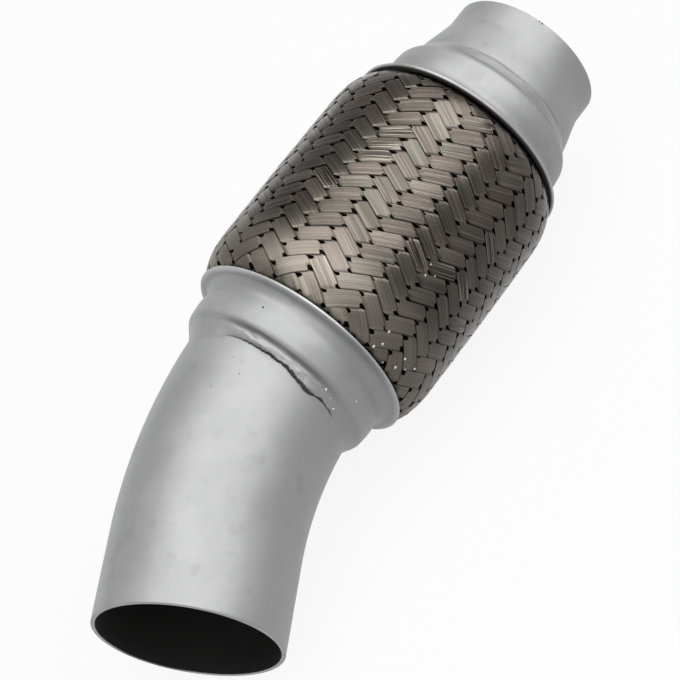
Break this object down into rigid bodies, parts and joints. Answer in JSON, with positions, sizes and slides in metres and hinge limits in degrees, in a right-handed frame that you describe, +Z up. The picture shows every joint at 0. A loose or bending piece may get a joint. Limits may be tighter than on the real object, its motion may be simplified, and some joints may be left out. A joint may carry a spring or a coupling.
{
  "type": "exhaust flex pipe",
  "caption": "Flexible exhaust pipe section: a woven steel braid over a bellows, clamped by flared cups and welded between a bent inlet tube and a tapered outlet.",
  "frame": {"origin": "centre of the outlet's mouth", "axes": "+X along the flex axis, out of the outlet; +Z up; the part lies on its belly and on the lower edge of the inlet's mouth"},
  "size_m": [0.2475, 0.0963, 0.0846],
  "materials": {
    "satin_steel": "satin",
    "weld_metal": "satin",
    "braid_wire": "satin",
    "inner_steel": "satin"
  },
  "bodies": {
    "root": {"inlet_tube": "satin_steel", "inlet_weld": "weld_metal", "inlet_cup": "satin_steel", "braid": "braid_wire", "bellows": "inner_steel", "liner": "inner_steel", "outlet_cup": "satin_steel", "outlet_weld": "weld_metal", "outlet_tube": "satin_steel"}
  },
  "joints": []
}
